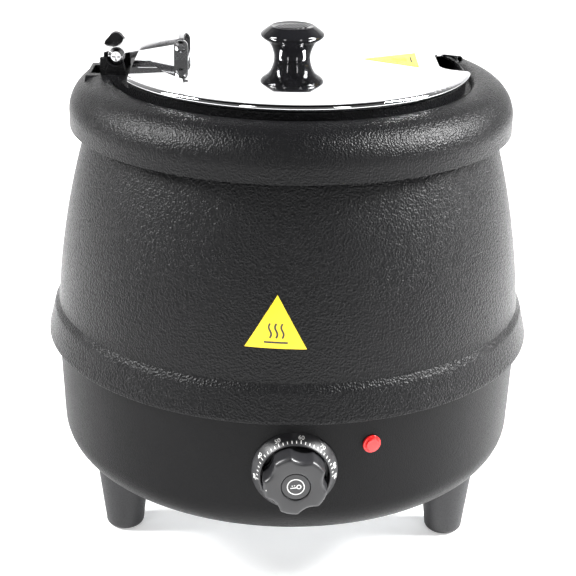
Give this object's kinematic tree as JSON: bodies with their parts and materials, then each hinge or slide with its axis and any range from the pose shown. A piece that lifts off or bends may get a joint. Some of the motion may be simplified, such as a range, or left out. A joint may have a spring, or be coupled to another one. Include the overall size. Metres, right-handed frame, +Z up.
{
  "type": "soup kettle",
  "caption": "Round electric wet-well soup kettle with a lift-out pot, a lift-off black cover ring, a hinged steel lid with a ladle notch, and a temperature dial at the front.",
  "frame": {"origin": "on the floor under the centre of the round body", "axes": "+Z up, the temperature dial faces -Y, the lid's hinge is on the -X side"},
  "size_m": [0.3399, 0.3672, 0.3466],
  "materials": {
    "upper_coat": "coarse textured powder coat, semi-gloss black",
    "lower_coat": "fine textured powder coat, semi-gloss charcoal black",
    "ring_coat": "coarse textured powder coat, semi-gloss black",
    "polished_lid": "mirror-polished stainless steel",
    "brushed_pot": "spun stainless steel",
    "chrome_fittings": "bright plated steel",
    "zinc": "bright zinc plate",
    "element_sheath": "heat-darkened sheath",
    "gloss_black": "gloss black moulding",
    "satin_black": "satin black moulding",
    "foot_rubber": "matt black",
    "white_print": "printed white",
    "lamp_red": "translucent red lens",
    "pale_moulding": "pale moulding",
    "copper": "drawn copper tube",
    "brass_stud": "turned brass",
    "lead_sleeve": "glass-fibre sleeve",
    "label_yellow": "yellow film label"
  },
  "bodies": {
    "kettle": {"upper_shell": "upper_coat", "lower_shell": "lower_coat", "base_plate": "zinc", "base_screws": "zinc", "feet": "foot_rubber", "foot_screws": "zinc", "water_tank": "brushed_pot", "tank_studs": "zinc", "base_nuts": "zinc", "heating_element": "element_sheath", "heater_clamp": "zinc", "clamp_nuts": "zinc", "overheat_cutout": "satin_black", "thermostat_body": "pale_moulding", "thermostat_screws": "zinc", "thermostat_bulb": "copper", "capillary_tube": "copper", "dial_plate": "satin_black", "dial_marks": "white_print", "pilot_lamp": "lamp_red", "pilot_lamp_nut": "pale_moulding", "cable_gland": "satin_black", "gland_nut": "satin_black", "terminal_block": "pale_moulding", "earth_stud": "brass_stud", "internal_leads": "lead_sleeve", "body_label": "label_yellow"},
    "dial_knob": {"thermostat_shaft": "zinc", "temperature_knob": "satin_black", "knob_cap": "satin_black", "knob_pointer": "white_print"},
    "pot": {"soup_pot": "brushed_pot"},
    "ring": {"cover_ring": "ring_coat", "hinge_pin": "chrome_fittings", "hinge_nut": "chrome_fittings"},
    "lid_assembly": {"lid_arm": "chrome_fittings", "lid_bracket": "chrome_fittings", "bracket_screws": "chrome_fittings", "lid": "polished_lid", "lid_knob": "gloss_black", "lid_knob_screw": "chrome_fittings", "lid_label": "label_yellow"}
  },
  "joints": [
    {"name": "pot_lift", "type": "slide", "parent": "kettle", "child": "pot", "axis": [0, 0, 1], "range_m": [0, 0.25]},
    {"name": "ring_lift", "type": "slide", "parent": "pot", "child": "ring", "axis": [0, 0, 1], "range_m": [0, 0.12]},
    {"name": "lid_hinge", "type": "hinge", "parent": "ring", "child": "lid_assembly", "pos_m": [-0.11693, 0.00408, 0.3253], "axis": [-0.0349, -0.9994, 0], "range_deg": [0, 95]},
    {"name": "knob_turn", "type": "hinge", "parent": "kettle", "child": "dial_knob", "pos_m": [0, -0.17, 0.0985], "axis": [0, 1, 0], "range_deg": [0, 191]}
  ]
}
